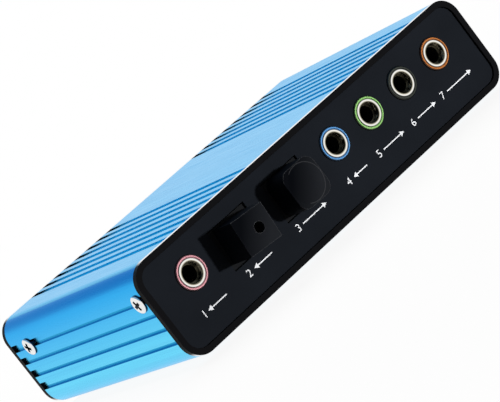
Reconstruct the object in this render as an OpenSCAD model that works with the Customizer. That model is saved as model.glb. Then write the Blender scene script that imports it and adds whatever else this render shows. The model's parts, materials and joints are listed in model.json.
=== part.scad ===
/* [Housing] */
// Width of the extruded housing
body_w = 100; // [96:0.5:120]
// Height of the extruded housing without its feet
body_h = 22.4; // [21.4:0.2:26]
// Length of the extruded housing between the two bezels
body_l = 66; // [58:1:90]
// Thickness of the housing wall
wall_t = 1.8; // [1.4:0.1:2.2]
// Outer corner radius of the housing section
corner_r = 4.6; // [3.6:0.1:5.6]
// Width of each groove in the housing
groove_w = 1.75; // [1:0.05:2.4]
// Depth of each groove
groove_d = 0.6; // [0.3:0.05:0.9]
// Distance from groove to groove
groove_pitch = 3.4; // [3:0.05:3.6]
// Number of grooves in each of the two groups on top
top_groove_n = 8; // [4:1:9]
// Distance of each group's innermost groove from the middle
top_groove_x = 14.5; // [8:0.5:16]
// Number of grooves in each side wall
side_groove_n = 4; // [2:1:4]
// How far the board rails stand in from the side walls
rail_w = 1.6; // [1:0.1:2.2]
// Thickness of one board rail
rail_t = 1; // [0.8:0.1:1.4]

/* [Bezels and panels] */
// Thickness of each bezel at its rim
bezel_t = 1.4; // [1.2:0.1:2.4]
// Width of the rim round each inset panel
rim_w = 1.35; // [1:0.05:2]
// How far the panels lie behind the rim
panel_recess = 0.45; // [0.2:0.05:0.6]
// Thickness of each inset panel
panel_t = 0.4; // [0.3:0.05:0.5]
// Thickness of the screw lugs behind the bezels, along the width
lug_t = 3.6; // [2.6:0.1:3.8]
// Wall round the screw hole in each lug
lug_wall = 1.3; // [1:0.1:1.4]

/* [Screws and feet] */
// Shank diameter of the side screws
screw_d = 2.4; // [2:0.1:2.6]
// Shank length of the side screws
screw_l = 5; // [4.5:0.1:5.2]
// Head diameter of the side screws
head_d = 4.5; // [4:0.1:5]
// Head height of the side screws
head_h = 1.2; // [0.8:0.1:1.6]
// Height of the side screws above the board's top face
screw_up = 7.6; // [6.8:0.1:8]
// Front screws, distance behind the front edge of the housing
front_screw_y = 2.5; // [2.4:0.1:6]
// Rear screws, distance before the rear edge of the housing
rear_screw_y = 8.3; // [2.5:0.1:10]
// Diameter of the round feet
foot_d = 8; // [6:0.5:12]
// Height of the feet under the housing
foot_h = 1; // [0.8:0.1:2]
// Distance of the feet's centres from the sides and the ends
foot_inset = 12.5; // [9:0.5:20]

/* [Board] */
// Thickness of the circuit board
board_t = 1.6; // [1.2:0.1:1.6]
// Free height between the board's top face and the housing's ceiling
board_room = 12.4; // [11.4:0.1:13.2]
// Gap between the board and the bezels at either end
board_gap = 1; // [0.5:0.1:2]

/* [Audio jacks] */
// Distance of the outermost jacks' axes from the housing's sides
jack_side = 11.4; // [11.2:0.1:12]
// Distance from jack to jack in the row of four
jack_pitch = 11.05; // [10.8:0.05:11.4]
// Height of the jack axes above the board's top face
jack_up = 5.9; // [5.2:0.1:6.2]
// Width of a jack body
jack_w = 10.5; // [9:0.1:10.6]
// Length of a jack body behind the bezel
jack_l = 12; // [11:0.5:14]
// Height of a jack body above its axis
jack_over = 4.9; // [4.2:0.1:5.2]
// Outer diameter of the coloured nose ring
ring_d = 7.2; // [6.8:0.1:8]
// How far the nose ring stands out of the panel
ring_out = 0.4; // [0.2:0.05:0.8]
// Outer diameter of the metal bush
bush_d = 5.8; // [5.2:0.1:6.2]
// Diameter of the wide mouth of the bush
mouth_d = 4.6; // [4.2:0.1:5]
// Depth of that mouth, down to the step before the bore
mouth_l = 1.5; // [0.8:0.1:1.8]
// Bore that guides a 3.5 mm plug
bore_d = 3.6; // [3.55:0.05:4]
// Length of the metal bush
bush_l = 4.4; // [3:0.1:5]
// Width of one contact spring
spring_w = 1.4; // [1:0.1:1.8]
// Thickness of one contact spring
spring_t = 0.25; // [0.2:0.05:0.4]

/* [Optical sockets] */
// Share of the free room beside the optical sockets that lies left of them
optical_left = 0.23; // [0.15:0.01:0.35]
// Share of that room that lies between them
optical_between = 0.45; // [0.35:0.01:0.5]
// Height of the optical sockets' centres above the board's top face
optical_up = 4.9; // [4.7:0.1:5.4]
// Width of an optical socket
optical_w = 10.3; // [9.4:0.1:11]
// Height of an optical socket's face
optical_h = 9.1; // [9:0.1:9.4]
// Play of an optical socket in its window
window_play = 0.25; // [0.1:0.05:0.4]
// How far an optical socket's face lies behind the panel's face
socket_in = 0.5; // [0.2:0.05:0.6]
// Length of an optical socket behind the bezel
optical_l = 12.5; // [11:0.5:16]
// Side of the square hollow in an optical socket
optical_hollow = 6.6; // [6.5:0.1:7]
// Depth of the hollow
optical_deep = 9; // [8:0.5:10]

/* [Dust caps] */
// Side of the plug that holds each cap in its socket
cap_plug = 5.7; // [5.2:0.1:5.8]
// Length of that plug
cap_plug_l = 6.5; // [5:0.5:7.5]
// Width of the input cap
in_cap_w = 8.4; // [7:0.1:9]
// Height of the input cap
in_cap_h = 7.9; // [7:0.1:8.6]
// How far the input cap stands out of the panel
in_cap_out = 7.2; // [4:0.1:8]
// Turn of the input cap in its socket, in degrees
in_cap_turn = 5; // [0:0.5:6]
// Diameter of the blind hole in the input cap
in_cap_hole_d = 2.4; // [1:0.1:3]
// Distance of the blind hole from the middle of the cap
in_cap_hole_x = 0.9; // [0:0.1:1.6]
// Depth of the blind hole
in_cap_hole_l = 3; // [1:0.5:5]
// Width of the output cap
out_cap_w = 8.9; // [8.6:0.1:9.4]
// Height of the output cap
out_cap_h = 9; // [8.6:0.1:9.4]
// Corner radius of the output cap
out_cap_r = 2.2; // [1:0.1:2.6]
// How far the output cap's flat face stands out of the panel
out_cap_out = 6.3; // [4:0.1:7]
// Diameter of the dome on the output cap
dome_d = 8.5; // [6:0.1:8.6]
// Height of the dome
dome_h = 0.5; // [0.2:0.1:0.8]

/* [Rear connector] */
// Place of the rear USB socket across the rear
usb_x = 0; // [-20:0.5:14]
// Outer width of the USB socket's shell
usb_w = 12; // [11.4:0.1:12.4]
// Outer height of the USB socket's shell
usb_h = 10.9; // [10.6:0.1:11.2]
// Length of the USB socket's shell
usb_l = 16; // [14:0.5:18]
// Thickness of the USB socket's sheet metal shell
usb_sheet = 0.4; // [0.3:0.05:0.5]
// How far the moulded core stays behind the shell's edge
core_in = 0.3; // [0:0.1:0.8]
// Width of the mouth that takes the plug
usb_mouth_w = 8.6; // [8.5:0.1:9]
// Height of the mouth that takes the plug
usb_mouth_h = 7.9; // [7.8:0.1:8.2]
// Size of the mouth's two cut corners
usb_corner = 1.6; // [1:0.1:2]
// Width of the tongue in the mouth
tongue_w = 5.6; // [5.4:0.1:5.8]
// Thickness of the tongue in the mouth
tongue_t = 3.2; // [3:0.1:3.4]
// How far the tongue stays behind the shell's edge
tongue_in = 1.2; // [0.8:0.1:2]
// Distance of the indicator lamp from the USB socket's side
lamp_side = 10; // [4:0.5:14]
// Diameter of the indicator lamp
lamp_d = 3; // [2.5:0.1:4]

/* [Board parts] */
// Place of the audio chip along the board, as a share of the board's length
chip_share = 0.41; // [0.35:0.01:0.5]
// Side of the audio chip's square package
chip_side = 10; // [8:0.5:12]
// Number of legs on each side of the chip
chip_leg_n = 12; // [6:1:16]
// Diameter of the round capacitors
cap_d = 6.3; // [4:0.1:6.6]
// Height of the round capacitors
cap_h = 7.6; // [5:0.1:9]
// Number of round capacitors in their row
cap_n = 5; // [2:1:5]
// Length of the crystal's can
crystal_l = 10.2; // [8:0.1:11.5]
// Width of the crystal's can
crystal_w = 3.8; // [3:0.1:4.8]
// Height of the crystal's can
crystal_h = 3.5; // [2.5:0.1:4]
// Number of small ceramic parts in each row
part_n = 7; // [3:1:7]
// Number of rows of small ceramic parts
part_rows = 3; // [1:1:4]

/* [Hidden] */
$fn = 48;

// Play between pieces that slide or drop into each other
play = 0.1;
// Play between the lugs and the housing's inside
lug_play = 0.15;
// How far a cut runs past the face it opens
past = 1;
mic_in_x = -body_w / 2 + jack_side;
centre_out_x = body_w / 2 - jack_side;
rear_out_x = centre_out_x - jack_pitch;
front_out_x = centre_out_x - 2 * jack_pitch;
line_in_x = centre_out_x - 3 * jack_pitch;
jack_xs = [mic_in_x, line_in_x, front_out_x, rear_out_x, centre_out_x];

// The optical sockets share the room between the microphone and line input jacks
optical_room = line_in_x - mic_in_x - jack_w - 2 * optical_w;
optical_in_x = mic_in_x + jack_w / 2 + optical_left * optical_room + optical_w / 2;
optical_out_x = optical_in_x + optical_w + optical_between * optical_room;
optical_xs = [optical_in_x, optical_out_x];

// The front face of the front bezel, so that the whole part is centred front to back
total_l = body_l + 2 * bezel_t;
face_y = -(total_l - (in_cap_out - panel_recess)) / 2;
rear_y = face_y + total_l;
tube_y = face_y + bezel_t;
tube_end = tube_y + body_l;
panel_y = face_y + panel_recess;
base_z = foot_h;
mid_z = base_z + body_h / 2;
inner_w = body_w - 2 * wall_t;
inner_h = body_h - 2 * wall_t;
inner_r = corner_r - wall_t;
board_top = body_h - wall_t - board_room;
board_z = base_z + board_top;
board_w = inner_w - 2 * play;
board_y = tube_y + board_gap;
board_l = body_l - 2 * board_gap;
axis_z = board_z + jack_up;
eye_z = board_z + optical_up;
lug_x = inner_w / 2 - lug_play;
hole_z = board_z + screw_up;
lug_hole_d = screw_d + play;
wall_hole_d = screw_d + 4 * play;
ring_y = panel_y - ring_out;
bush_end = ring_y + bush_l;
cavity_d = bush_d - 4 * play;
// The hair's breadth kept between faces that would else meet in a line
touch = 0.01;
spring_gap = 1;
socket_y = panel_y + socket_in;
usb_z = board_z + usb_h / 2;
usb_end = rear_y - panel_recess;
usb_start = usb_end - usb_l;
usb_back = 2;
lamp_x = usb_x + usb_w / 2 + lamp_side;
chip_x = -6;
chip_y = board_y + chip_share * board_l;
leg_out = 1;

// A rectangle with round corners, its centre at the origin
module round_rect(w, h, r) {
    square([w - 2 * r, h], center = true);
    square([w, h - 2 * r], center = true);
    for (sx = [-1, 1], sy = [-1, 1])
        translate([sx * (w / 2 - r), sy * (h / 2 - r)]) circle(r);
}

// Stretches a flat outline in X and Z from y towards the rear
module along_y(y, l) {
    translate([0, y + l, 0]) rotate([90, 0, 0]) linear_extrude(l) children();
}

// The same, with the outline's origin at the middle of the housing section
module section(y, l) {
    translate([0, 0, mid_z]) along_y(y, l) children();
}

// A turned piece about an axis along Y, its profile in radius and distance behind y
module turned(x, y, z) {
    translate([x, y, z]) rotate([-90, 0, 0]) rotate_extrude() children();
}

// A straight round hole or pin along Y
module rod_y(x, y, z, d, l) {
    translate([x, y, z]) rotate([-90, 0, 0]) cylinder(d = d, h = l);
}

// The grooves of the housing section: two groups on top and one in each side
module groove_cuts() {
    for (s = [-1, 1], i = [0 : top_groove_n - 1])
        translate([s * (top_groove_x + i * groove_pitch), body_h / 2])
            square([groove_w, 2 * groove_d], center = true);
    for (s = [-1, 1], i = [0 : side_groove_n - 1])
        translate([s * body_w / 2, (i - (side_groove_n - 1) / 2) * groove_pitch])
            square([2 * groove_d, groove_w], center = true);
}

// The rails that hold the board's edges, one under it and one over it on each side
module rails() {
    under = board_top - board_t - play - rail_t / 2 - body_h / 2;
    over = board_top + play + rail_t / 2 - body_h / 2;
    for (s = [-1, 1], z = [under, over])
        translate([s * (inner_w / 2 - rail_w / 2 + play), z])
            square([rail_w + 2 * play, rail_t], center = true);
}

module housing() {
    color([0.27, 0.68, 0.93])
    difference() {
        section(tube_y, body_l) {
            difference() {
                round_rect(body_w, body_h, corner_r);
                round_rect(inner_w, inner_h, inner_r);
                groove_cuts();
            }
            rails();
        }
        for (s = [-1, 1], y = [tube_y + front_screw_y, tube_end - rear_screw_y])
            translate([s * body_w / 2, y, hole_z]) rotate([0, 90, 0])
                cylinder(d = wall_hole_d, h = 3 * wall_t, center = true);
    }
}

// The two lugs behind a bezel's web, from y to y + l, each with its screw hole at hole_y
module lugs(y, l, hole_y) {
    lug_h = lug_hole_d + 2 * lug_wall;
    difference() {
        section(y, l)
            intersection() {
                round_rect(2 * lug_x, inner_h - 2 * lug_play, inner_r - lug_play);
                for (s = [-1, 1])
                    translate([s * (lug_x - lug_t / 2), hole_z - mid_z])
                        square([lug_t, lug_h], center = true);
            }
        for (s = [-1, 1])
            translate([s * lug_x, hole_y, hole_z]) rotate([0, 90, 0])
                cylinder(d = lug_hole_d, h = 3 * lug_t, center = true);
    }
}

// The holes that the front connectors pass through, from y to y + l
module front_cuts(y, l) {
    for (x = jack_xs)
        rod_y(x, y, axis_z, ring_d + 2 * play, l);
    for (x = optical_xs)
        translate([x, 0, eye_z]) along_y(y, l)
            square([optical_w + 2 * window_play, optical_h + 2 * window_play], center = true);
}

// The holes that the rear connector and the lamp pass through, from y to y + l
module rear_cuts(y, l) {
    translate([usb_x, 0, usb_z]) along_y(y, l)
        square([usb_w + 2 * play, usb_h + 2 * play], center = true);
    rod_y(lamp_x, y, axis_z, lamp_d + 2 * play, l);
}

module front_bezel() {
    color([0.09, 0.09, 0.1])
    union() {
        difference() {
            section(face_y, bezel_t) round_rect(body_w, body_h, corner_r);
            section(face_y - past, past + panel_recess + panel_t)
                round_rect(body_w - 2 * rim_w, body_h - 2 * rim_w, corner_r - rim_w);
            front_cuts(face_y, bezel_t + past);
        }
        lugs(tube_y, front_screw_y + lug_hole_d / 2 + lug_wall, tube_y + front_screw_y);
    }
}

module rear_bezel() {
    rear_lug_l = rear_screw_y + lug_hole_d / 2 + lug_wall;
    color([0.09, 0.09, 0.1])
    union() {
        difference() {
            section(tube_end, bezel_t) round_rect(body_w, body_h, corner_r);
            section(rear_y - panel_recess - panel_t, past + panel_recess + panel_t)
                round_rect(body_w - 2 * rim_w, body_h - 2 * rim_w, corner_r - rim_w);
            rear_cuts(tube_end - past, bezel_t + past);
        }
        lugs(tube_end - rear_lug_l, rear_lug_l, tube_end - rear_screw_y);
    }
}

// An inset panel's outline, which drops into a bezel's pocket
module panel_outline() {
    round_rect(body_w - 2 * rim_w - 2 * play, body_h - 2 * rim_w - 2 * play, corner_r - rim_w - play);
}

module front_panel() {
    color([0.14, 0.14, 0.17])
    difference() {
        section(panel_y, panel_t) panel_outline();
        front_cuts(panel_y - past, panel_t + 2 * past);
    }
}

module rear_panel() {
    color([0.14, 0.14, 0.17])
    difference() {
        section(rear_y - panel_recess - panel_t, panel_t) panel_outline();
        rear_cuts(rear_y - panel_recess - panel_t - past, panel_t + 2 * past);
    }
}

module main_board() {
    color([0.08, 0.32, 0.2])
    translate([-board_w / 2, board_y, board_z - board_t]) cube([board_w, board_l, board_t]);
}

// The black moulded body of one jack, which stands on the board behind the bezel
module jack_body(x) {
    color([0.07, 0.07, 0.08])
    difference() {
        translate([x - jack_w / 2, tube_y, board_z])
            cube([jack_w, jack_l, axis_z + jack_over - board_z]);
        rod_y(x, tube_y - past, axis_z, bush_d + 2 * play, bush_end - tube_y + past);
        rod_y(x, tube_y, axis_z, cavity_d, jack_l - past);
    }
}

// The coloured ring round the mouth of one jack, its inner band a fine step lower
module jack_ring(x, tint) {
    edge = 0.2;
    step = 0.15;
    inner = bush_d / 2 + play / 2;
    color(tint)
    turned(x, ring_y, axis_z)
        polygon([
            [inner, step], [inner + edge, step], [inner + edge, 0], [ring_d / 2 - edge, 0],
            [ring_d / 2, edge], [ring_d / 2, tube_y - ring_y], [inner, tube_y - ring_y]
        ]);
}

// The metal bush that guides the plug: a wide mouth, then the bore
module jack_bush(x) {
    color([0.85, 0.85, 0.87])
    turned(x, ring_y, axis_z)
        polygon([
            [mouth_d / 2, 0], [bush_d / 2, 0], [bush_d / 2, bush_l],
            [bore_d / 2, bush_l], [bore_d / 2, mouth_l], [mouth_d / 2, mouth_l]
        ]);
}

// The bent leaf contacts inside one jack, behind its bush
module jack_springs(x) {
    reach = sqrt(pow(cavity_d / 2, 2) - pow(spring_w / 2, 2)) - touch;
    press = 0.5;
    bend = reach - bore_d / 2 + press;
    spring_l = jack_l - past - spring_gap - (bush_end - tube_y);
    color([0.8, 0.72, 0.5])
    for (a = [40, 180, 290])
        translate([x, bush_end + spring_gap, axis_z]) rotate([0, a, 0])
            translate([-spring_w / 2, 0, 0]) rotate([90, 0, 90]) linear_extrude(spring_w)
                polygon([
                    [0, reach - spring_t], [spring_l / 3, reach - bend],
                    [spring_l, reach - spring_t], [spring_l, reach],
                    [spring_l / 3, reach - bend + spring_t], [0, reach]
                ]);
}

pink = [0.88, 0.55, 0.6];
sky = [0.3, 0.52, 0.82];
lime = [0.5, 0.75, 0.35];
soot = [0.16, 0.16, 0.17];
amber = [0.75, 0.43, 0.16];

module mic_in_body() { jack_body(mic_in_x); }
module mic_in_ring() { jack_ring(mic_in_x, pink); }
module mic_in_bush() { jack_bush(mic_in_x); }
module mic_in_springs() { jack_springs(mic_in_x); }
module line_in_body() { jack_body(line_in_x); }
module line_in_ring() { jack_ring(line_in_x, sky); }
module line_in_bush() { jack_bush(line_in_x); }
module line_in_springs() { jack_springs(line_in_x); }
module front_out_body() { jack_body(front_out_x); }
module front_out_ring() { jack_ring(front_out_x, lime); }
module front_out_bush() { jack_bush(front_out_x); }
module front_out_springs() { jack_springs(front_out_x); }
module rear_out_body() { jack_body(rear_out_x); }
module rear_out_ring() { jack_ring(rear_out_x, soot); }
module rear_out_bush() { jack_bush(rear_out_x); }
module rear_out_springs() { jack_springs(rear_out_x); }
module centre_out_body() { jack_body(centre_out_x); }
module centre_out_ring() { jack_ring(centre_out_x, amber); }
module centre_out_bush() { jack_bush(centre_out_x); }
module centre_out_springs() { jack_springs(centre_out_x); }

// One optical socket: a body on the board and a nose that fills its window
module optical_socket(x) {
    color([0.05, 0.05, 0.06])
    difference() {
        union() {
            translate([x - optical_w / 2, tube_y, board_z])
                cube([optical_w, optical_l, eye_z + optical_h / 2 - board_z]);
            translate([x, 0, eye_z]) along_y(socket_y, tube_y - socket_y + past)
                square([optical_w, optical_h], center = true);
        }
        translate([x, 0, eye_z]) along_y(socket_y - past, optical_deep + past)
            square(optical_hollow, center = true);
    }
}

module optical_in_socket() { optical_socket(optical_in_x); }
module optical_out_socket() { optical_socket(optical_out_x); }

module optical_in_cap() {
    front = panel_y - in_cap_out;
    color([0.1, 0.1, 0.11])
    translate([optical_in_x, 0, eye_z]) rotate([0, in_cap_turn, 0])
        difference() {
            union() {
                along_y(front, socket_y - front) square([in_cap_w, in_cap_h], center = true);
                along_y(socket_y - past, cap_plug_l + past) square(cap_plug, center = true);
            }
            rod_y(in_cap_hole_x, front - past, 0, in_cap_hole_d, in_cap_hole_l + past);
        }
}

module optical_out_cap() {
    front = panel_y - out_cap_out;
    dome_r = (dome_d * dome_d / 4 + dome_h * dome_h) / (2 * dome_h);
    color([0.1, 0.1, 0.11])
    translate([optical_out_x, 0, eye_z]) {
        along_y(front, socket_y - front) round_rect(out_cap_w, out_cap_h, out_cap_r);
        along_y(socket_y - past, cap_plug_l + past) square(cap_plug, center = true);
        intersection() {
            translate([0, front - dome_h + dome_r, 0]) sphere(dome_r, $fn = 96);
            rod_y(0, front - dome_h - past, 0, dome_d, dome_h + 2 * past);
        }
    }
}

// The outline of the mouth that takes a square plug with two cut corners
module usb_mouth(w, h, c) {
    polygon([
        [-w / 2, -h / 2], [w / 2, -h / 2], [w / 2, h / 2 - c],
        [w / 2 - c, h / 2], [-w / 2 + c, h / 2], [-w / 2, h / 2 - c]
    ]);
}

// The sheet metal box round the socket, open to the rear
module usb_shell() {
    color([0.75, 0.76, 0.78])
    translate([usb_x, 0, usb_z])
        difference() {
            along_y(usb_start, usb_l) square([usb_w, usb_h], center = true);
            along_y(usb_start + usb_sheet, usb_l)
                square([usb_w - 2 * usb_sheet, usb_h - 2 * usb_sheet], center = true);
        }
}

// The moulded core: a block that fills the shell, its mouth and the tongue in it
module usb_core() {
    core_y = usb_start + usb_sheet;
    core_w = usb_w - 2 * usb_sheet - play;
    core_h = usb_h - 2 * usb_sheet - play;
    color([0.93, 0.93, 0.9])
    translate([usb_x, 0, usb_z])
        union() {
            difference() {
                along_y(core_y, usb_end - core_in - core_y) square([core_w, core_h], center = true);
                along_y(usb_start + usb_back, usb_l)
                    usb_mouth(usb_mouth_w, usb_mouth_h, usb_corner);
            }
            along_y(core_y, usb_end - tongue_in - core_y) square([tongue_w, tongue_t], center = true);
        }
}

module usb_contacts() {
    contact_w = 1;
    contact_t = 0.15;
    contact_l = 7;
    contact_in = 0.5;
    color([0.85, 0.68, 0.35])
    for (sx = [-1, 1], sz = [-1, 1])
        translate([usb_x + sx * tongue_w / 4, usb_end - tongue_in - contact_in - contact_l / 2,
                   usb_z + sz * (tongue_t / 2 + contact_t / 2)])
            cube([contact_w, contact_l, contact_t], center = true);
}

module indicator_lamp() {
    lamp_l = 6;
    lamp_out = 0.4;
    color([0.3, 0.55, 0.95])
    translate([lamp_x, rear_y - panel_recess + lamp_out - lamp_d / 2, axis_z]) {
        sphere(d = lamp_d);
        rod_y(0, -lamp_l, 0, lamp_d, lamp_l);
    }
}

module audio_chip() {
    chip_h = 1.4;
    stand_off = 0.1;
    color([0.12, 0.12, 0.13])
    translate([chip_x, chip_y, board_z + stand_off + chip_h / 2])
        cube([chip_side, chip_side, chip_h], center = true);
}

module audio_chip_legs() {
    leg_w = 0.25;
    leg_t = 0.15;
    leg_z = 0.7;
    bend_x = 0.45;
    leg_pitch = (chip_side - 2) / (chip_leg_n - 1);
    color([0.8, 0.8, 0.82])
    for (a = [0 : 90 : 270], i = [0 : chip_leg_n - 1])
        translate([chip_x, chip_y, board_z]) rotate([0, 0, a])
            translate([chip_side / 2, (i - (chip_leg_n - 1) / 2) * leg_pitch + leg_w / 2, 0])
                rotate([90, 0, 0]) linear_extrude(leg_w)
                    polygon([
                        [0, leg_z], [bend_x, leg_z], [bend_x, 0], [leg_out, 0], [leg_out, leg_t],
                        [bend_x + leg_t, leg_t], [bend_x + leg_t, leg_z + leg_t], [0, leg_z + leg_t]
                    ]);
}

// The crystal's can, beside the audio chip
module crystal() {
    crystal_gap = 4;
    color([0.8, 0.8, 0.8])
    translate([chip_x + chip_side / 2 + crystal_gap + crystal_l / 2, chip_y + chip_side / 2, board_z])
        linear_extrude(crystal_h) round_rect(crystal_l, crystal_w, crystal_w / 2 - touch);
}

// The voltage regulator, beside the USB socket
module regulator() {
    reg_w = 6.5;
    reg_l = 3.5;
    reg_h = 1.7;
    reg_gap = 5;
    color([0.12, 0.12, 0.13])
    translate([usb_x - usb_w / 2 - reg_gap - reg_w, usb_start + reg_l, board_z])
        cube([reg_w, reg_l, reg_h]);
}

module capacitors() {
    cap_gap = 2.6;
    behind_jacks = 2;
    neck = 0.3;
    neck_z = 1;
    color([0.2, 0.25, 0.4])
    for (i = [0 : cap_n - 1])
        translate([line_in_x + i * (cap_d + cap_gap),
                   tube_y + jack_l + behind_jacks + cap_d / 2, board_z])
            rotate_extrude()
                polygon([
                    [0, 0], [cap_d / 2, 0], [cap_d / 2, neck_z], [cap_d / 2 - neck, neck_z + neck],
                    [cap_d / 2, neck_z + 2 * neck], [cap_d / 2, cap_h - neck],
                    [cap_d / 2 - neck, cap_h], [0, cap_h]
                ]);
}

// Rows of small ceramic parts between the board's left edge and the audio chip
module small_parts() {
    part_l = 2;
    part_w = 1.25;
    part_h = 0.6;
    row_pitch = board_l / 8;
    from_side = 6;
    chip_gap = 0.5;
    first_x = -board_w / 2 + from_side;
    last_x = chip_x - chip_side / 2 - leg_out - chip_gap - part_l;
    part_pitch = (last_x - first_x) / (part_n - 1);
    color([0.72, 0.6, 0.42])
    for (i = [0 : part_n - 1], j = [0 : part_rows - 1])
        translate([first_x + i * part_pitch, chip_y + (j - 1) * row_pitch, board_z])
            cube([part_l, part_w, part_h]);
}

module side_screws() {
    dome = 0.35;
    color([0.87, 0.87, 0.88])
    for (s = [0, 180], y = [tube_y + front_screw_y, tube_end - rear_screw_y])
        translate([0, y, hole_z]) rotate([0, 0, s]) translate([body_w / 2, 0, 0])
            rotate([0, 90, 0]) rotate_extrude()
                polygon([
                    [0, -screw_l], [screw_d / 2 - 0.4, -screw_l], [screw_d / 2, 0.6 - screw_l],
                    [screw_d / 2, 0], [head_d / 2, 0], [head_d / 2, head_h - 2 * dome],
                    [head_d / 2 - dome, head_h - dome / 2], [head_d / 4, head_h], [0, head_h]
                ]);
}

module rubber_feet() {
    color([0.12, 0.12, 0.12])
    for (sx = [-1, 1], y = [face_y + foot_inset, rear_y - foot_inset])
        translate([sx * (body_w / 2 - foot_inset), y, 0])
            rotate_extrude()
                polygon([
                    [0, 0], [foot_d / 2 - 0.6, 0], [foot_d / 2, foot_h * 0.6],
                    [foot_d / 2, foot_h], [0, foot_h]
                ]);
}

housing();
front_bezel();
front_panel();
rear_bezel();
rear_panel();
main_board();
mic_in_body();
mic_in_ring();
mic_in_bush();
mic_in_springs();
line_in_body();
line_in_ring();
line_in_bush();
line_in_springs();
front_out_body();
front_out_ring();
front_out_bush();
front_out_springs();
rear_out_body();
rear_out_ring();
rear_out_bush();
rear_out_springs();
centre_out_body();
centre_out_ring();
centre_out_bush();
centre_out_springs();
optical_in_socket();
optical_out_socket();
optical_in_cap();
optical_out_cap();
usb_shell();
usb_core();
usb_contacts();
indicator_lamp();
audio_chip();
audio_chip_legs();
crystal();
regulator();
capacitors();
small_parts();
side_screws();
rubber_feet();
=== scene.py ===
import json
import math
import bmesh
import bpy
from mathutils import Matrix, Vector


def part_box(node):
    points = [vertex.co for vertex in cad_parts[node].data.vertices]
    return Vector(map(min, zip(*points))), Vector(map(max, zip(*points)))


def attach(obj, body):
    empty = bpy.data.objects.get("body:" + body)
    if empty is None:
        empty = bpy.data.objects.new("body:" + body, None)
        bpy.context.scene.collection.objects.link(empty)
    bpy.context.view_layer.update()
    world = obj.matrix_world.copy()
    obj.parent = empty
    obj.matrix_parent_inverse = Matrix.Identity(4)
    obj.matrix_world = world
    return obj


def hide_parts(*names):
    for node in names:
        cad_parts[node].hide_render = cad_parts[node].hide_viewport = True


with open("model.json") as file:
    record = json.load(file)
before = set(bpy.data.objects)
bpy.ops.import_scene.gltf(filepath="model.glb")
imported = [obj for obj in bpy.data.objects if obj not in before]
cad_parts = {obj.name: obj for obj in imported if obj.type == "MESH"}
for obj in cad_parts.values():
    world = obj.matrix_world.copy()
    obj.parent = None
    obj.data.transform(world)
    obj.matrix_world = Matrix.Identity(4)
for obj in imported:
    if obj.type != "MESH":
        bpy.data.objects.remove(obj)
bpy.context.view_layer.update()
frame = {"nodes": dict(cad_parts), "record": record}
NODES = frame["nodes"]
MM = 0.001

# Camera, in degrees and millimetres, from the middle of the front bezel's face
CAM_AZIMUTH = -29.38
CAM_ELEVATION = 8.08
CAM_ROLL = -37.37
CAM_DISTANCE = 472.0
CAM_TARGET = (-18.66, 0.0, 5.81)
CAM_LENS = 170.98

# Colours, linear
BLUE = (0.15, 0.71, 0.99, 1)
BLUE_SIDE_REFLECTION = (0.018, 0.41, 0.86, 1)
BLUE_EDGE = (0.66, 0.82, 1.0, 1)
GROOVE_WALL_LIGHT = (0.12, 0.82, 0.98, 1)
GROOVE_FLOOR_SHADE = (0.035, 0.46, 0.70, 1)
SIDE_GROOVE_SHADE = (0.008, 0.33, 0.60, 1)
BEZEL = (0.0050, 0.0050, 0.0058, 1)
BEZEL_GLOSS = (0.95, 0.95, 0.96, 1)
PANEL = (0.0095, 0.0112, 0.0145, 1)
CAP = (0.0125, 0.0138, 0.0165, 1)
CAP_SHADE = (0.0018, 0.0022, 0.0032, 1)
CAP_EDGE_HIGHLIGHT = (0.085, 0.087, 0.092, 1)
BUSH_DEPTH_SHADE = (0.02, 0.019, 0.013, 1)
RECESS_SHADE = (0.045, 0.045, 0.05, 1)
PRINT_WHITE = (0.80, 0.81, 0.83, 1)
WHITE = (1, 1, 1, 1)
OVERHEAD = (0.17, 0.36, 0.58, 1)

# The housing, in metres: its grooves, how far in its corners and sides reach, the depth at which a place
# counts as sunk, and the depths below the top between which the painted darker reflection on the sides fades
GROOVE_PITCH = 3.4 * MM
GROOVE_DEPTH = 0.6 * MM
CORNER_REACH = 4.6 * MM
SIDE_REACH = 3.0 * MM
SKIN = 0.04 * MM
SIDE_REFLECTION_BAND = (2.2 * MM, 17.0 * MM)

# The side grooves, in pitches: how low in a groove its ledge begins, and how far from the middle they go
LEDGE_FROM = -0.09
ROWS_REACH = 1.95

# A jack, in metres: the radii between which the painted highlight and shade of its ring and its bush run, and
# the depths at which the bush's golden wall with painted glints begins and at which painted shade turns it
# black
RING_BAND = (2.92 * MM, 3.60 * MM)
BUSH_BAND = (2.3 * MM, 2.9 * MM)
WALL_STARTS = (0.04 * MM, 0.12 * MM)
WALL_ENDS = (0.9 * MM, 1.55 * MM)

# The optical caps, in metres: half a cap's width, the radius of its painted edge highlights and how fast they
# lighten, and the output cap's dome: its radius, the painted highlight line round it, how far left the line
# goes and how light it is
CAP_HALF = 4.5 * MM
EDGE_R = 0.22 * MM
EDGE_GAIN = 3.4
DOME_R = 4.25 * MM
DOME_LINE = 0.08 * MM
DOME_LEFT = -2.2 * MM
DOME_HIGHLIGHT = 0.3

# A side screw, in metres: the plain one that it replaces has a wider head, and painted shade darkens its own
# recess from RECESS_SKIN
PLAIN_HEAD_R = 2.25 * MM
HEAD_R = 2.05 * MM
HEAD_H = 0.6 * MM
SHANK_R = 1.2 * MM
SHANK_L = 5.0 * MM
TIP_L = 0.6 * MM
CROSS_L = 2.7 * MM
CROSS_W = 0.72 * MM
CROSS_DEPTH = 0.5 * MM
RECESS_SKIN = 0.05 * MM
SCREW_SPINS = (20, 62, 35, 5)

# Edges sharper than these angles, in degrees, stay sharp
NODE_SHARP = 28
SCREW_SHARP = 35

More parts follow.
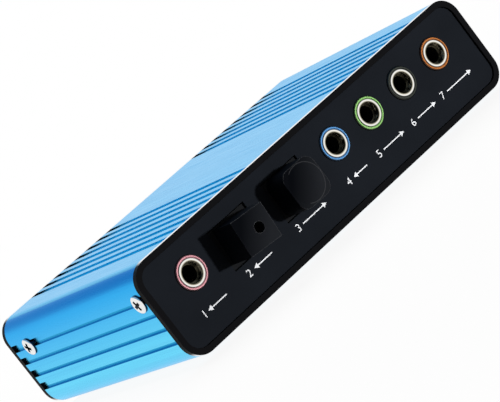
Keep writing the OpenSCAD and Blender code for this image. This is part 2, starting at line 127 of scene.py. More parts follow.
# The white print, in metres, and the width of each mark in millimetres with whether its arrow points left
MARK_H = 1.66 * MM
MARK_THICK = 0.012 * MM
MARK_BASE = 6.45 * MM
MARK_GAP = 1.0 * MM
STROKE = 0.25 * MM
ARROW_HEAD = 1.1 * MM
MARKS = (
    ("mic_in_ring", 6.6, True),
    ("optical_in_socket", 7.4, True),
    ("optical_out_socket", 9.2, False),
    ("line_in_ring", 6.4, True),
    ("front_out_ring", 8.6, False),
    ("rear_out_ring", 8.0, False),
    ("centre_out_ring", 10.2, False),
)

# The studio: its fill light, and the heights, as sines of an angle, between which the white in
# reflections turns into the overhead colour
FILL = 0.09
OVERHEAD_BAND = (0.25, 0.46)

# The floor: half its width, its thickness and the distances between which its glow grows, in metres, the
# glow's share at each of them, and its colour where it bounces light and where it is seen
FLOOR_HALF = 6.0
FLOOR_THICK = 0.002
GLOW_BAND = (0.12, 0.40)
GLOW_SHARES = (0.92, 1.0)
FLOOR_BOUNCE = (0.22, 0.22, 0.22, 1)
FLOOR_SEEN = (0.90, 0.90, 0.90, 1)

# Each lamp's azimuth and elevation in degrees, its distance and size in metres, and its power in watts:
# a key lamp low in front on the right, and a broad soft one above and behind
LAMP_AIM = (0, -0.03, 0.012)
LAMPS = (
    ("key", 26.6, -6.4, 0.9, 0.05, 9.0),
    ("top", 170.0, 62.0, 1.2, 1.0, 17.0),
)


def centre(node):
    """The middle of a node's box."""
    low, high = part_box(node)
    return (low + high) / 2


def empty_material(name):
    """A node material with nothing but its output: the material, its tree and the output's socket."""
    material = bpy.data.materials.new(name)
    material.use_nodes = True
    tree = material.node_tree
    tree.nodes.clear()
    out = tree.nodes.new("ShaderNodeOutputMaterial")
    return material, tree, out.inputs["Surface"]


def new_material(name):
    """A node material with one Principled shader: the material, its tree and the shader."""
    material, tree, surface = empty_material(name)
    shader = tree.nodes.new("ShaderNodeBsdfPrincipled")
    tree.links.new(shader.outputs["BSDF"], surface)
    return material, tree, shader


def find_node(tree, kind):
    """The first node of a kind."""
    return next(node for node in tree.nodes if node.bl_idname == kind)


def calc(tree, operation, *values):
    """One Math node on numbers or sockets."""
    node = tree.nodes.new("ShaderNodeMath")
    node.operation = operation
    for socket, value in zip(node.inputs, values):
        if isinstance(value, (int, float)):
            socket.default_value = value
        else:
            tree.links.new(value, socket)
    return node.outputs[0]


def product(tree, *masks):
    """The product of masks, so 1 only where each of them is 1."""
    result = masks[0]
    for mask in masks[1:]:
        result = calc(tree, "MULTIPLY", result, mask)
    return result


def distance(tree, across, upward):
    """The length of a flat vector from its two parts."""
    squares = calc(tree, "POWER", across, 2.0), calc(tree, "POWER", upward, 2.0)
    return calc(tree, "SQRT", calc(tree, "ADD", *squares))


def remap(tree, value, from_low, from_high, to_low=0.0, to_high=1.0):
    """A value mapped from one range to another and held inside it."""
    node = tree.nodes.new("ShaderNodeMapRange")
    node.inputs["From Min"].default_value = from_low
    node.inputs["From Max"].default_value = from_high
    node.inputs["To Min"].default_value = to_low
    node.inputs["To Max"].default_value = to_high
    tree.links.new(value, node.inputs["Value"])
    return node.outputs["Result"]


def spread(tree, noise_value, low, high):
    """The middle of a noise's range spread from low to high."""
    return remap(tree, noise_value, 0.3, 0.7, low, high)


def noise(tree, stretch, detail=4.0, roughness=0.55):
    """A noise value in the row frame, with stretch waves a metre along each axis."""
    coords = tree.nodes.new("ShaderNodeTexCoord")
    mapping = tree.nodes.new("ShaderNodeMapping")
    mapping.inputs["Scale"].default_value = stretch
    tree.links.new(coords.outputs["Object"], mapping.inputs["Vector"])
    node = tree.nodes.new("ShaderNodeTexNoise")
    node.inputs["Scale"].default_value = 1.0
    node.inputs["Detail"].default_value = detail
    node.inputs["Roughness"].default_value = roughness
    tree.links.new(mapping.outputs["Vector"], node.inputs["Vector"])
    return node.outputs["Fac"]


def tint(tree, value, dark, light):
    """A colour between dark and light by value; each colour is a value or a socket."""
    node = tree.nodes.new("ShaderNodeMix")
    node.data_type = "RGBA"
    for socket, colour in ((node.inputs["A"], dark), (node.inputs["B"], light)):
        if isinstance(colour, tuple):
            socket.default_value = colour
        else:
            tree.links.new(colour, socket)
    tree.links.new(value, node.inputs["Factor"])
    return node.outputs["Result"]


def bands(tree, value, low, high, stops):
    """A colour by value between low and high, from stops of (share, colour)."""
    ramp = tree.nodes.new("ShaderNodeValToRGB")
    elements = ramp.color_ramp.elements
    while len(elements) < len(stops):
        elements.new(0.5)
    for element, (place, colour) in zip(elements, stops):
        element.position = place
        element.color = colour
    tree.links.new(remap(tree, value, low, high), ramp.inputs["Fac"])
    return ramp.outputs["Color"]


def bump(tree, shader, height, depth, strength):
    """Bumps the shader by height, with depth in metres."""
    node = tree.nodes.new("ShaderNodeBump")
    node.inputs["Strength"].default_value = strength
    node.inputs["Distance"].default_value = depth
    tree.links.new(height, node.inputs["Height"])
    tree.links.new(node.outputs["Normal"], shader.inputs["Normal"])


def shade(colour, share):
    """A colour made darker or lighter by share."""
    return tuple(min(1.0, c * share) for c in colour[:3]) + (1,)


def row_axes(tree):
    """The row frame's X, Y and Z at the shaded point."""
    coords = tree.nodes.new("ShaderNodeTexCoord")
    parts = tree.nodes.new("ShaderNodeSeparateXYZ")
    tree.links.new(coords.outputs["Object"], parts.inputs["Vector"])
    return parts.outputs["X"], parts.outputs["Y"], parts.outputs["Z"]


def below_top(tree):
    """How far the shaded point lies below the housing's top, in metres."""
    return calc(tree, "SUBTRACT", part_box("housing")[1].z, row_axes(tree)[2])


def inside_side(tree):
    """How far the shaded point lies in from the housing's nearer side, in metres."""
    return calc(tree, "SUBTRACT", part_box("housing")[1].x, calc(tree, "ABSOLUTE", row_axes(tree)[0]))


def radius_about(tree, node):
    """The distance from the axis of a round front node, in metres."""
    middle = centre(node)
    x, _, z = row_axes(tree)
    return distance(tree, calc(tree, "SUBTRACT", x, middle.x), calc(tree, "SUBTRACT", z, middle.z))


def top_groove_mask(tree):
    """1 inside the housing's grooves on top, and 0 on its outer faces."""
    sunk = calc(tree, "GREATER_THAN", below_top(tree), SKIN)
    flat_top = calc(tree, "GREATER_THAN", inside_side(tree), CORNER_REACH)
    return product(tree, sunk, flat_top)


def side_groove_mask(tree):
    """1 on the lower ledge of each groove in the housing's sides, where painted shade goes, and 0 elsewhere.
    """
    sunk = calc(tree, "GREATER_THAN", inside_side(tree), SKIN)
    above_middle = calc(tree, "SUBTRACT", row_axes(tree)[2], centre("housing").z)
    rows = calc(tree, "DIVIDE", above_middle, GROOVE_PITCH)
    # Whole pitches are added so that the fraction is also right below the middle
    place = calc(tree, "SUBTRACT", calc(tree, "FRACT", calc(tree, "ADD", rows, 100.0)), 0.5)
    lower = calc(tree, "LESS_THAN", place, LEDGE_FROM)
    straight = calc(tree, "LESS_THAN", calc(tree, "ABSOLUTE", rows), ROWS_REACH)
    return product(tree, sunk, lower, straight)


def anodised_material():
    """Blue anodised aluminium: grain and faint streaks along the extrusion, a painted darker reflection high
    on the sides, and painted light and shade in its grooves.
    """
    material, tree, shader = new_material("aluminium_blue")
    shader.inputs["Metallic"].default_value = 1.0
    shader.inputs["Specular Tint"].default_value = BLUE_EDGE
    grain = noise(tree, (2600, 55, 2600), 5.0, 0.6)
    streaks = noise(tree, (1400, 7, 1400), 3.0, 0.6)
    plain = tint(tree, spread(tree, streaks, 0.0, 1.0), shade(BLUE, 0.93), shade(BLUE, 1.06))
    # Painted darker reflection high on the sides
    high_up = remap(tree, below_top(tree), *SIDE_REFLECTION_BAND, 1.0, 0.0)
    on_side = calc(tree, "LESS_THAN", inside_side(tree), SIDE_REACH)
    face = tint(tree, product(tree, high_up, on_side), plain, BLUE_SIDE_REFLECTION)
    # Painted light in the top grooves: lighter walls, and painted shade on their floors
    at_floor = calc(tree, "GREATER_THAN", below_top(tree), GROOVE_DEPTH - SKIN)
    groove = tint(tree, at_floor, GROOVE_WALL_LIGHT, GROOVE_FLOOR_SHADE)
    grooved = tint(tree, top_groove_mask(tree), face, groove)
    # Painted shade on the lower ledge of each side groove
    tree.links.new(tint(tree, side_groove_mask(tree), grooved, SIDE_GROOVE_SHADE), shader.inputs["Base Color"])
    tree.links.new(spread(tree, grain, 0.19, 0.28), shader.inputs["Roughness"])
    bump(tree, shader, grain, 0.02 * MM, 0.5)
    return material


def moulded_material(name, colour, rough, specular=0.3, grain_mm=0.25, depth_mm=0.01):
    """Moulded plastic or rubber with a fine even texture and slight wear in its gloss."""
    material, tree, shader = new_material(name)
    shader.inputs["Specular IOR Level"].default_value = specular
    waves = 1 / (grain_mm * MM)
    grain = noise(tree, (waves, waves, waves), 3.0)
    cloud = noise(tree, (90, 90, 90), 3.0)
    clouded = tint(tree, spread(tree, cloud, 0.0, 1.0), shade(colour, 0.9), shade(colour, 1.1))
    tree.links.new(clouded, shader.inputs["Base Color"])
    tree.links.new(spread(tree, cloud, rough - 0.05, rough + 0.05), shader.inputs["Roughness"])
    bump(tree, shader, grain, depth_mm * MM, 0.4)
    return material


def metal_material(name, colour, rough):
    """Plated metal with faint handling marks."""
    material, tree, shader = new_material(name)
    shader.inputs["Metallic"].default_value = 1.0
    marks = noise(tree, (900, 900, 900), 4.0)
    tree.links.new(tint(tree, marks, shade(colour, 0.94), shade(colour, 1.04)), shader.inputs["Base Color"])
    tree.links.new(spread(tree, marks, rough * 0.8, rough * 1.25), shader.inputs["Roughness"])
    bump(tree, shader, marks, 0.004 * MM, 0.3)
    return material


def bezel_material():
    """Satin black plastic whose gloss is strong only where it is seen edge on."""
    material = moulded_material("bezel_black", BEZEL, 0.22, 0.02)
    tree = material.node_tree
    edge_on = tree.nodes.new("ShaderNodeLayerWeight")
    gloss = tree.nodes.new("ShaderNodeBsdfGlossy")
    gloss.inputs["Color"].default_value = BEZEL_GLOSS
    gloss.inputs["Roughness"].default_value = 0.12
    mixed = tree.nodes.new("ShaderNodeMixShader")
    tree.links.new(remap(tree, edge_on.outputs["Facing"], 0.72, 0.84), mixed.inputs["Fac"])
    tree.links.new(find_node(tree, "ShaderNodeBsdfPrincipled").outputs["BSDF"], mixed.inputs[1])
    tree.links.new(gloss.outputs["BSDF"], mixed.inputs[2])
    tree.links.new(mixed.outputs["Shader"], find_node(tree, "ShaderNodeOutputMaterial").inputs["Surface"])
    return material


def ring_material(name, colour, node):
    """A moulded ring with painted light: painted shade at its seat against the bush, a painted highlight on
    its crest and painted shade at its outer edge.
    """
    material, tree, shader = new_material(name)
    # Painted shade, a painted highlight and painted shade again, from the seat out to the edge
    light_shares = ((0.0, 0.12), (0.16, 0.45), (0.34, 0.62), (0.50, 1.15), (0.66, 0.9), (0.80, 0.10), (1.0, 0.04))
    stops = [(place, shade(colour, share)) for place, share in light_shares]
    tree.links.new(bands(tree, radius_about(tree, node), *RING_BAND, stops), shader.inputs["Base Color"])
    shader.inputs["Specular IOR Level"].default_value = 0.25
    cloud = noise(tree, (90, 90, 90), 3.0)
    tree.links.new(spread(tree, cloud, 0.3, 0.4), shader.inputs["Roughness"])
    return material


def bush_material(node):
    """Bright nickel round the mouth of a jack with painted shade at its edges, and a dim golden wall inside
    with painted glints, which painted shade turns black deeper in.
    """
    material, tree, shader = new_material(f"nickel_{node}")
    glints = noise(tree, (520, 900, 520), 3.0, 0.7)
    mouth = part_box(node)[0].y
    y = row_axes(tree)[1]
    inside, deep = (remap(tree, y, *(mouth + depth for depth in band)) for band in (WALL_STARTS, WALL_ENDS))
    # Painted shade at the inner and outer edges of the bright mouth
    face = bands(tree, radius_about(tree, node), *BUSH_BAND, (
        (0.0, (0.06, 0.055, 0.04, 1)),
        (0.24, (0.38, 0.35, 0.26, 1)),
        (0.42, (0.90, 0.88, 0.80, 1)),
        (0.78, (0.95, 0.94, 0.90, 1)),
        (1.0, (0.06, 0.06, 0.05, 1)),
    ))
    # Painted golden glints on the wall inside
    wall = tint(tree, spread(tree, glints, -1.4, 2.2), (0.03, 0.028, 0.02, 1), (1.0, 0.90, 0.66, 1))
    shallow = tint(tree, inside, face, wall)
    # Painted shade turns the bore black deeper in
    tree.links.new(tint(tree, deep, shallow, BUSH_DEPTH_SHADE), shader.inputs["Base Color"])
    shader.inputs["Metallic"].default_value = 1.0
    tree.links.new(calc(tree, "MULTIPLY_ADD", inside, 0.35, 0.2), shader.inputs["Roughness"])
    return material


def worn_edge(tree):
    """A painted highlight that rises along a cap's front edges, apart from those that look left."""
    rounded = tree.nodes.new("ShaderNodeBevel")
    rounded.samples = 6
    rounded.inputs["Radius"].default_value = EDGE_R
    true = tree.nodes.new("ShaderNodeNewGeometry")
    bend = tree.nodes.new("ShaderNodeVectorMath")
    bend.operation = "DOT_PRODUCT"
    tree.links.new(rounded.outputs["Normal"], bend.inputs[0])
    tree.links.new(true.outputs["True Normal"], bend.inputs[1])
    turned = tree.nodes.new("ShaderNodeSeparateXYZ")
    tree.links.new(rounded.outputs["Normal"], turned.inputs["Vector"])
    away = calc(tree, "MAXIMUM", calc(tree, "ABSOLUTE", turned.outputs["Z"]), turned.outputs["X"])
    front = calc(tree, "LESS_THAN", turned.outputs["Y"], -0.15)
    edge = calc(tree, "MULTIPLY", calc(tree, "SUBTRACT", 1.0, bend.outputs["Value"]), EDGE_GAIN)
    return product(tree, edge, front, calc(tree, "MAXIMUM", away, 0.0))


def cap_material():
    """Soft black rubber with painted light: painted shade up on the left, painted highlights on its front
    edges and round the output cap's dome.
    """
    material = moulded_material("cap_black", CAP, 0.5, 0.02, 0.18, 0.015)
    tree = material.node_tree
    base_color = find_node(tree, "ShaderNodeBsdfPrincipled").inputs["Base Color"]
    base = base_color.links[0].from_socket
    in_centre = centre("optical_in_cap")
    out_centre = centre("optical_out_cap")
    x, _, z = row_axes(tree)
    right_hand = calc(tree, "GREATER_THAN", x, (in_centre.x + out_centre.x) / 2)
    centre_x = calc(tree, "MULTIPLY_ADD", right_hand, out_centre.x - in_centre.x, in_centre.x)
    across = calc(tree, "SUBTRACT", x, centre_x)
    upward = calc(tree, "SUBTRACT", z, in_centre.z)
    # Painted shade, darker up on the left of each cap
    slope = calc(tree, "SUBTRACT", across, calc(tree, "MULTIPLY", upward, 0.9))
    slope_shaded = tint(tree, remap(tree, slope, -CAP_HALF, CAP_HALF), CAP_SHADE, base)
    # A painted highlight line round the right of the output cap's dome
    off_dome = calc(tree, "SUBTRACT", distance(tree, across, upward), DOME_R)
    on_line = calc(tree, "LESS_THAN", calc(tree, "ABSOLUTE", off_dome), DOME_LINE)
    dome = product(tree, on_line, right_hand, calc(tree, "GREATER_THAN", across, DOME_LEFT))
    # Painted highlights on the front edges and on the dome's line lighten the colour
    lit = calc(tree, "MAXIMUM", worn_edge(tree), calc(tree, "MULTIPLY", dome, DOME_HIGHLIGHT))
    tree.links.new(tint(tree, calc(tree, "MINIMUM", lit, 1.0), slope_shaded, CAP_EDGE_HIGHLIGHT), base_color)
    return material


def board_material():
    """Green solder mask over faint copper tracks."""
    material, tree, shader = new_material("board_green")
    tracks = spread(tree, noise(tree, (300, 700, 300), 2.0), 0.0, 1.0)
    green = tint(tree, tracks, (0.01, 0.07, 0.035, 1), (0.02, 0.14, 0.07, 1))
    tree.links.new(green, shader.inputs["Base Color"])
    shader.inputs["Roughness"].default_value = 0.35
    return material


def lamp_material():
    """A tinted clear lens."""
    material, tree, shader = new_material("lamp")
    cloud = noise(tree, (500, 500, 500), 2.0)
    lens = tint(tree, cloud, (0.10, 0.25, 0.75, 1), (0.18, 0.36, 0.9, 1))
    tree.links.new(lens, shader.inputs["Base Color"])
    shader.inputs["Roughness"].default_value = 0.12
    shader.inputs["Transmission Weight"].default_value = 0.35
    return material


def make_materials():
    """Every material of the object, by the record's slot name."""
    return {
        "aluminium_blue": anodised_material(),
        "bezel_black": bezel_material(),
        "panel_black": moulded_material("panel_black", PANEL, 0.50, 0.02, 0.12),
        "board_green": board_material(),
        "jack_black": moulded_material("jack_black", (0.010, 0.0105, 0.0115, 1), 0.45, 0.03),
        "ring_pink": ring_material("ring_pink", (0.72, 0.33, 0.37, 1), "mic_in_ring"),
        "ring_blue": ring_material("ring_blue", (0.10, 0.29, 0.60, 1), "line_in_ring"),
        "ring_green": ring_material("ring_green", (0.28, 0.56, 0.17, 1), "front_out_ring"),
        "ring_black": ring_material("ring_black", (0.028, 0.032, 0.026, 1), "rear_out_ring"),
        "ring_amber": ring_material("ring_amber", (0.45, 0.15, 0.035, 1), "centre_out_ring"),
        "nickel": metal_material("nickel", (0.82, 0.82, 0.80, 1), 0.16),
        "contact": metal_material("contact", (0.80, 0.70, 0.50, 1), 0.22),
        "cap_black": cap_material(),
        "usb_white": moulded_material("usb_white", (0.70, 0.70, 0.66, 1), 0.4),
        "lamp": lamp_material(),
        "chip": moulded_material("chip", (0.012, 0.012, 0.013, 1), 0.5),
        "ceramic": moulded_material("ceramic", (0.45, 0.30, 0.16, 1), 0.5),
        "sleeve": moulded_material("sleeve", (0.02, 0.035, 0.12, 1), 0.3, 0.5),
        "foot_rubber": moulded_material("foot_rubber", (0.015, 0.015, 0.015, 1), 0.8, 0.2, 0.3, 0.03),
        "print_white": moulded_material("print_white", PRINT_WHITE, 0.5, 0.2, 0.2, 0.002),
    }


def dress_nodes(materials):
    """Gives each CAD node the material of its slot in the record, and each bush one of its own."""
    for row in frame["record"]["subparts"]:
        node = NODES[row["node"]]
        material = materials[row["material_slot"]]
        if row["node"].endswith("_bush"):
            material = bush_material(row["node"])
        node.data.materials.clear()
        node.data.materials.append(material)


def smooth(mesh, sharp_from):
    """Smooth shading on a mesh, with its edges sharp from an angle in degrees."""
    for polygon in mesh.polygons:
        polygon.use_smooth = True
    mesh.set_sharp_from_angle(angle=math.radians(sharp_from))


def smooth_nodes():
    """Smooth shading on every CAD node, with its sharp edges kept."""
    for node in NODES.values():
        smooth(node.data, NODE_SHARP)


def add_piece(name, mesh, material):
    """Links a mesh as a piece of the object."""
    piece = bpy.data.objects.new(name, mesh)
    bpy.context.scene.collection.objects.link(piece)
    mesh.materials.clear()
    mesh.materials.append(material)
    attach(piece, "root")
    return piece


def mesh_from(made, name):
    """A named mesh from a bmesh, with its faces turned outward."""
    bmesh.ops.recalc_face_normals(made, faces=made.faces)
    mesh = bpy.data.meshes.new(name)
    made.to_mesh(mesh)
    made.free()
    return mesh


def evaluated_mesh(holder):
    """A new mesh of an object as it is evaluated now."""
    bpy.context.view_layer.update()
    return bpy.data.meshes.new_from_object(holder.evaluated_get(bpy.context.evaluated_depsgraph_get()))


def digit_mesh(body, height):
    """A thin mesh of a number in the built-in face, scaled to height, its lower left corner at the origin."""
    curve = bpy.data.curves.new("digit_curve", "FONT")
    curve.body = body
    curve.size = 1.0
    curve.extrude = 0.004
    holder = bpy.data.objects.new("digit_holder", curve)
    bpy.context.scene.collection.objects.link(holder)
    mesh = evaluated_mesh(holder)
    bpy.data.objects.remove(holder)
    low = Vector((min(v.co.x for v in mesh.vertices), min(v.co.y for v in mesh.vertices), 0))
    scale = height / (max(v.co.y for v in mesh.vertices) - low.y)
    mesh.transform(Matrix.Scale(scale, 4) @ Matrix.Translation(-low))
    return mesh


def flat_shape(points, thick):
    """A thin plate with the outline points, in X and Y, from 0 to thick."""
    made = bmesh.new()
    face = made.faces.new([made.verts.new((x, y, 0)) for x, y in points])
    top = bmesh.ops.extrude_face_region(made, geom=[face])
    moved = [g for g in top["geom"] if isinstance(g, bmesh.types.BMVert)]
    bmesh.ops.translate(made, verts=moved, vec=(0, 0, thick))
    return mesh_from(made, "flat_shape")


def arrow_points(length, inward):
    """The outline of a plain arrow of some length, pointing left if inward and right if not."""
    half = MARK_H * 0.36
    bar = STROKE / 2
    middle = MARK_H / 2
    neck = length - ARROW_HEAD
    shape = [
        (0, middle - bar), (neck, middle - bar), (neck, middle - half), (length, middle),
        (neck, middle + half), (neck, middle + bar), (0, middle + bar),
    ]
    if inward:
        shape = [(length - x, y) for x, y in reversed(shape)]
    return shape


def print_marks(materials):
    """The white print: a plain number and an arrow under each connector."""
    panel_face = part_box("front_panel")[0].y
    upright = Matrix.Rotation(math.radians(90), 4, "X")
    for index, (node, width_mm, inward) in enumerate(MARKS, 1):
        width = width_mm * MM
        start = centre(node).x - width / 2
        digit = digit_mesh(str(index), MARK_H)
        digit_w = max(v.co.x for v in digit.vertices)
        digit.transform(Matrix.Scale(MARK_THICK / max(v.co.z for v in digit.vertices), 4, (0, 0, 1)))
        arrow = flat_shape(arrow_points(width - digit_w - MARK_GAP, inward), MARK_THICK)
        for name, mesh, offset in (("number", digit, 0.0), ("arrow", arrow, digit_w + MARK_GAP)):
            mesh.transform(Matrix.Translation((start + offset, panel_face, MARK_BASE)) @ upright)
            add_piece(f"{name}_{index}", mesh, materials["print_white"])


def lathe(profile, steps):
    """A closed turned mesh about Z from points (radius, height), the first and last on the axis."""
    made = bmesh.new()
    angles = [2 * math.pi * i / steps for i in range(steps)]
    rings = []
    for radius, height in profile:
        if radius == 0:
            rings.append([made.verts.new((0, 0, height))])
        else:
            circle = [(radius * math.cos(a), radius * math.sin(a), height) for a in angles]
            rings.append([made.verts.new(point) for point in circle])
    for low, high in zip(rings, rings[1:]):
        for i in range(steps):
            j = (i + 1) % steps
            if len(low) == 1:
                made.faces.new((low[0], high[j], high[i]))
            elif len(high) == 1:
                made.faces.new((low[i], low[j], high[0]))
            else:
                made.faces.new((low[i], low[j], high[j], high[i]))
    return mesh_from(made, "lathe")


def cross_cutter(width, length, depth, top):
    """A tapered cross that cuts a screw head's recess, its mouth at top."""
    made = bmesh.new()
    for turn in (0, 90):
        spin = Matrix.Rotation(math.radians(turn), 3, "Z")
        corners = [
            Vector((sx * length / 2 * share, sy * width / 2, z))
            for z, share in ((top + depth * 0.3, 1.0), (top - depth, 0.55))
            for sx, sy in ((-1, -1), (1, -1), (1, 1), (-1, 1))
        ]
        verts = [made.verts.new(spin @ corner) for corner in corners]
        for face in ((0, 1, 2, 3), (4, 5, 6, 7), (0, 1, 5, 4), (1, 2, 6, 5), (2, 3, 7, 6), (3, 0, 4, 7)):
            made.faces.new([verts[i] for i in face])
    return mesh_from(made, "cross")


def cut_mesh(mesh, cutter_mesh):
    """mesh less cutter_mesh, as a new mesh."""
    body = bpy.data.objects.new("cut_body", mesh)
    cutter = bpy.data.objects.new("cut_tool", cutter_mesh)
    for holder in (body, cutter):
        bpy.context.scene.collection.objects.link(holder)
    modifier = body.modifiers.new("cut", "BOOLEAN")
    modifier.operation = "DIFFERENCE"
    modifier.solver = "EXACT"
    modifier.use_self = True
    modifier.object = cutter
    result = evaluated_mesh(body)
    for holder in (body, cutter):
        bpy.data.objects.remove(holder)
    return result


def screw_mesh():
    """One pan-head screw about Z, its head's underside at 0, with a cross recess."""
    dome_steps = 10
    profile = [
        (0, -SHANK_L), (SHANK_R * 0.6, -SHANK_L), (SHANK_R, -SHANK_L + TIP_L), (SHANK_R, 0), (HEAD_R, 0),
    ]
    for i in range(dome_steps):
        angle = math.pi / 2 * i / dome_steps
        profile.append((HEAD_R * math.cos(angle) ** 0.35, HEAD_H * (0.42 + 0.58 * math.sin(angle))))
    profile.append((0, HEAD_H))
    return cut_mesh(lathe(profile, 64), cross_cutter(CROSS_W, CROSS_L, CROSS_DEPTH, HEAD_H))


def screw_rows():
    """The front and rear Y of the side screws, and their Z."""
    low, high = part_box("side_screws")
    return low.y + PLAIN_HEAD_R, high.y - PLAIN_HEAD_R, (low.z + high.z) / 2


def screw_material():
    """Bright nickel with painted shade in its cross recess and on its rim."""
    material = metal_material("nickel_screw", (0.86, 0.86, 0.85, 1), 0.12)
    tree = material.node_tree
    base_color = find_node(tree, "ShaderNodeBsdfPrincipled").inputs["Base Color"]
    base = base_color.links[0].from_socket
    front, rear, level = screw_rows()
    x, y, z = row_axes(tree)
    from_middle = calc(tree, "ABSOLUTE", calc(tree, "SUBTRACT", y, (front + rear) / 2))
    along = calc(tree, "SUBTRACT", from_middle, (rear - front) / 2)
    radius = distance(tree, along, calc(tree, "SUBTRACT", z, level))
    sunk = calc(tree, "SUBTRACT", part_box("housing")[1].x + HEAD_H, calc(tree, "ABSOLUTE", x))
    # Painted shade in the cross recess and on the rim
    near_axis = calc(tree, "LESS_THAN", radius, CROSS_L / 2 + 0.1 * MM)
    recess = product(tree, calc(tree, "GREATER_THAN", sunk, RECESS_SKIN), near_axis)
    rim = calc(tree, "GREATER_THAN", sunk, HEAD_H * 0.6)
    tree.links.new(tint(tree, calc(tree, "MAXIMUM", recess, rim), base, RECESS_SHADE), base_color)
    return material


def screws():
    """The four side screws with their cross recesses, in place of the plain ones."""
    whole = bmesh.new()
    screw = screw_mesh()
    side_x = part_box("housing")[1].x
    front, rear, level = screw_rows()
    seats = ((-1, front), (-1, rear), (1, front), (1, rear))
    for (side, y), spin_angle in zip(seats, SCREW_SPINS):
        copy = screw.copy()
        turn = Matrix.Rotation(math.radians(90 * side), 4, "Y")
        spin = Matrix.Rotation(math.radians(spin_angle), 4, "Z")
        copy.transform(Matrix.Translation((side * side_x, y, level)) @ turn @ spin)
        whole.from_mesh(copy)
    mesh = bpy.data.meshes.new("screws")
    whole.to_mesh(mesh)
    whole.free()
    smooth(mesh, SCREW_SHARP)
    piece = add_piece("screw_heads", mesh, screw_material())
    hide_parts("side_screws")


def direction(azimuth, elevation):
    """The unit vector from the object towards an azimuth, from the front, and an elevation, in radians."""
    flat = math.cos(elevation)
    return Vector((math.sin(azimuth) * flat, -math.cos(azimuth) * flat, math.sin(elevation)))


def camera_axes():
    """The camera's right, up and back directions in the row frame."""
    azimuth, elevation, roll = (math.radians(a) for a in (CAM_AZIMUTH, CAM_ELEVATION, CAM_ROLL))
    back = direction(azimuth, elevation)
    level = (-back).cross(Vector((0, 0, 1))).normalized()
    upright = level.cross(-back)
    right = math.cos(roll) * level + math.sin(roll) * upright
    up = -math.sin(roll) * level + math.cos(roll) * upright
    return right, up, back


def place_camera():
    """The photograph's camera."""
    face = Vector((0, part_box("front_bezel")[0].y, centre("housing").z))
    right, up, back = camera_axes()
    place = face + Vector(CAM_TARGET) * MM + back * CAM_DISTANCE * MM
    data = bpy.data.cameras.new("camera")
    data.lens = CAM_LENS
    data.sensor_width = 36.0
    data.clip_start = 0.01
    data.clip_end = 50.0
    camera = bpy.data.objects.new("camera", data)
    bpy.context.scene.collection.objects.link(camera)
    axes = Matrix((right, up, back)).transposed().to_4x4()
    camera.matrix_world = Matrix.Translation(place) @ axes
    bpy.context.scene.camera = camera


def seen_directly(tree):
    """Light Path, and 1 for rays from the camera, reflections and clear materials, and 0 for the rest."""
    path = tree.nodes.new("ShaderNodeLightPath")
    first = calc(tree, "MAXIMUM", path.outputs["Is Camera Ray"], path.outputs["Is Glossy Ray"])
    return path, calc(tree, "MAXIMUM", first, path.outputs["Is Transmission Ray"])


def background(tree, strength):
    """A white background shader."""
    node = tree.nodes.new("ShaderNodeBackground")
    node.inputs["Color"].default_value = WHITE
    node.inputs["Strength"].default_value = strength
    return node


def mix_shaders(tree, share, first, second):
    """One shader turning into another by share."""
    node = tree.nodes.new("ShaderNodeMixShader")
    tree.links.new(share, node.inputs["Fac"])
    tree.links.new(first, node.inputs[1])
    tree.links.new(second, node.inputs[2])
    return node.outputs["Shader"]


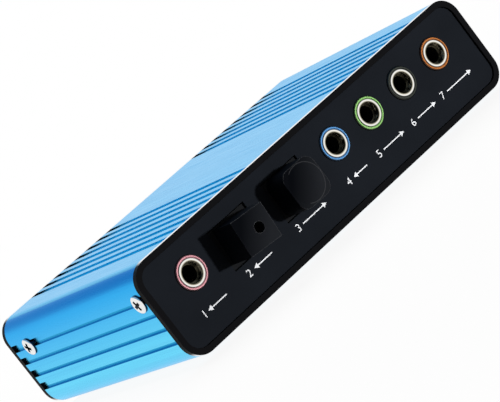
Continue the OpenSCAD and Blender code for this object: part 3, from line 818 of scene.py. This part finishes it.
def build_world():
    """A white studio: white where it is looked at, dimmer overhead in reflections, and a soft even fill."""
    world = bpy.data.worlds.new("studio")
    bpy.context.scene.world = world
    world.use_nodes = True
    tree = world.node_tree
    tree.nodes.clear()
    out = tree.nodes.new("ShaderNodeOutputWorld")
    coords = tree.nodes.new("ShaderNodeTexCoord")
    parts = tree.nodes.new("ShaderNodeSeparateXYZ")
    tree.links.new(coords.outputs["Generated"], parts.inputs["Vector"])
    ramp = tree.nodes.new("ShaderNodeValToRGB")
    ramp.color_ramp.interpolation = "EASE"
    for element, place, colour in zip(ramp.color_ramp.elements, OVERHEAD_BAND, (WHITE, OVERHEAD)):
        element.position = place
        element.color = colour
    tree.links.new(parts.outputs["Z"], ramp.inputs["Fac"])
    path, direct = seen_directly(tree)
    fill = background(tree, FILL)
    seen = background(tree, 1.0)
    reflected = background(tree, 1.0)
    tree.links.new(ramp.outputs["Color"], reflected.inputs["Color"])
    by_gloss = mix_shaders(tree, path.outputs["Is Glossy Ray"], seen.outputs[0], reflected.outputs[0])
    tree.links.new(mix_shaders(tree, direct, fill.outputs[0], by_gloss), out.inputs["Surface"])


def build_floor():
    """A pale floor that reads as white, whiter further out, and keeps a soft shadow."""
    corners = [(x * FLOOR_HALF, y * FLOOR_HALF) for x, y in ((-1, -1), (1, -1), (1, 1), (-1, 1))]
    mesh = flat_shape(corners, FLOOR_THICK)
    mesh.transform(Matrix.Translation((0, 0, -FLOOR_THICK)))
    floor = bpy.data.objects.new("floor", mesh)
    bpy.context.scene.collection.objects.link(floor)
    material, tree, surface = empty_material("floor_white")
    direct = seen_directly(tree)[1]
    matt = tree.nodes.new("ShaderNodeBsdfDiffuse")
    tree.links.new(tint(tree, direct, FLOOR_BOUNCE, FLOOR_SEEN), matt.inputs["Color"])
    glow = tree.nodes.new("ShaderNodeEmission")
    glow.inputs["Color"].default_value = WHITE
    glow.inputs["Strength"].default_value = 1.0
    x, y, _ = row_axes(tree)
    share = product(tree, direct, remap(tree, distance(tree, x, y), *GLOW_BAND, *GLOW_SHARES))
    tree.links.new(mix_shaders(tree, share, matt.outputs["BSDF"], glow.outputs["Emission"]), surface)
    mesh.materials.append(material)
    floor.visible_shadow = False


def add_lamp(name, azimuth, elevation, away, size, power):
    """A square area lamp that looks at the object from azimuth and elevation, in degrees, unseen in gloss."""
    towards = direction(math.radians(azimuth), math.radians(elevation))
    data = bpy.data.lights.new(name, "AREA")
    data.size = size
    data.energy = power
    lamp = bpy.data.objects.new(name, data)
    bpy.context.scene.collection.objects.link(lamp)
    lamp.visible_glossy = False
    turn = towards.to_track_quat("Z", "Y").to_matrix().to_4x4()
    lamp.matrix_world = Matrix.Translation(Vector(LAMP_AIM) + towards * away) @ turn


materials = make_materials()
dress_nodes(materials)
smooth_nodes()
print_marks(materials)
screws()
place_camera()
build_world()
build_floor()
for lamp in LAMPS:
    add_lamp(*lamp)
bpy.context.scene.view_settings.view_transform = "Standard"
